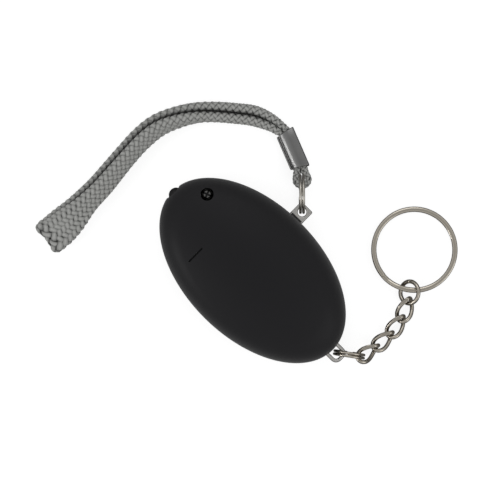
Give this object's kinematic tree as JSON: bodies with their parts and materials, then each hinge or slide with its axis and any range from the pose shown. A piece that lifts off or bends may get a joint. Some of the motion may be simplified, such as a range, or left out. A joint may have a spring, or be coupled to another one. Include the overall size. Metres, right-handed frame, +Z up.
{
  "type": "personal safety alarm",
  "caption": "Pebble-shaped personal alarm with a pull pin on a braided wrist strap, a push button at one tip and a key ring on a short chain at the other.",
  "frame": {"origin": "middle of the flat resting face under the front cover", "axes": "+Z up through the rear cover, +Y to the push button, -Y to the key chain, +X to the pull pin"},
  "size_m": [0.0859, 0.0974, 0.018],
  "materials": {
    "casing": "satin soft-touch black",
    "dark_screw": "dark steel",
    "button": "gloss black",
    "pin_metal": "bright plated",
    "nickel_wire": "nickel plated wire",
    "ferrule_metal": "satin",
    "braid": "braided grey nylon",
    "nylon": "natural white",
    "board": "green solder mask",
    "contact_brass": "bright brass",
    "ceramic": "fired ceramic",
    "cell_can": "bright steel can",
    "component_black": "moulded black",
    "ferrite": "dark grey",
    "lead_red": "red insulation"
  },
  "bodies": {
    "casing": {"rear_cover": "casing", "front_cover": "casing", "cover_screw": "dark_screw", "key_bail": "pin_metal", "circuit_board": "board", "board_screws": "dark_screw", "piezo_plate": "contact_brass", "piezo_ceramic": "ceramic", "cell_1": "cell_can", "cell_2": "cell_can", "cell_3": "cell_can", "positive_contact": "contact_brass", "negative_contact": "contact_brass", "leaf_lower": "contact_brass", "leaf_upper": "contact_brass", "tact_switch": "component_black", "boost_coil": "ferrite", "alarm_chip": "component_black", "drive_transistor": "component_black", "storage_capacitor": "ferrite", "piezo_lead_red": "lead_red", "piezo_lead_black": "component_black"},
    "button": {"push_button": "button", "switch_plunger": "nylon"},
    "pull_pin": {"pull_pin_tab": "pin_metal", "pull_pin_blade": "nylon"},
    "pin_split_ring": {"pin_ring": "nickel_wire"},
    "strap": {"strap_ferrule": "ferrule_metal", "strap_eye": "braid", "wrist_strap": "braid"},
    "bail_split_ring": {"chain_ring": "nickel_wire"},
    "link_1": {"chain_link_1": "nickel_wire"},
    "link_2": {"chain_link_2": "nickel_wire"},
    "link_3": {"chain_link_3": "nickel_wire"},
    "link_4": {"chain_link_4": "nickel_wire"},
    "wire_ring": {"jump_ring": "nickel_wire"},
    "ring_for_keys": {"key_ring": "nickel_wire"}
  },
  "joints": [
    {"name": "button_press", "type": "slide", "parent": "casing", "child": "button", "axis": [0, -1, 0], "range_m": [0, 0.0006], "stiffness_N_per_m": 1500, "springref_m": -0.0004},
    {"name": "pin_pull", "type": "slide", "parent": "casing", "child": "pull_pin", "axis": [1, 0, 0], "range_m": [0, 0.02]},
    {"name": "pin_ring_swivel", "type": "hinge", "parent": "pull_pin", "child": "pin_split_ring", "pos_m": [0.02197, 0.0017, 0.0075], "axis": [0, 0, 1], "range_deg": [-40, 6]},
    {"name": "strap_swing", "type": "hinge", "parent": "pin_split_ring", "child": "strap", "pos_m": [0.02911, 0.00884, 0.0041], "axis": [0, 0, 1], "range_deg": [-40, 5]},
    {"name": "chain_ring_swing", "type": "hinge", "parent": "casing", "child": "bail_split_ring", "pos_m": [0.00055, -0.03435, 0.0075], "axis": [0, 0, 1], "range_deg": [-12, 8]},
    {"name": "link_1_swing", "type": "hinge", "parent": "bail_split_ring", "child": "link_1", "pos_m": [0.00477, -0.04016, 0.0036], "axis": [0, 0, 1], "range_deg": [-20, 5]},
    {"name": "link_2_swing", "type": "hinge", "parent": "link_1", "child": "link_2", "pos_m": [0.00935, -0.04101, 0.0024], "axis": [0, 0, 1], "range_deg": [-25, 4]},
    {"name": "link_3_swing", "type": "hinge", "parent": "link_2", "child": "link_3", "pos_m": [0.01498, -0.04146, 0.00214], "axis": [0, 0, 1], "range_deg": [-25, 4]},
    {"name": "link_4_swing", "type": "hinge", "parent": "link_3", "child": "link_4", "pos_m": [0.02047, -0.0406, 0.00219], "axis": [0, 0, 1], "range_deg": [-25, 4]},
    {"name": "jump_ring_swing", "type": "hinge", "parent": "link_4", "child": "wire_ring", "pos_m": [0.02562, -0.03843, 0.0025], "axis": [0, 0, 1], "range_deg": [-25, 4]},
    {"name": "key_ring_swing", "type": "hinge", "parent": "wire_ring", "child": "ring_for_keys", "pos_m": [0.02793, -0.03631, 0.00265], "axis": [0, 0, 1], "range_deg": [-15, 5]}
  ]
}
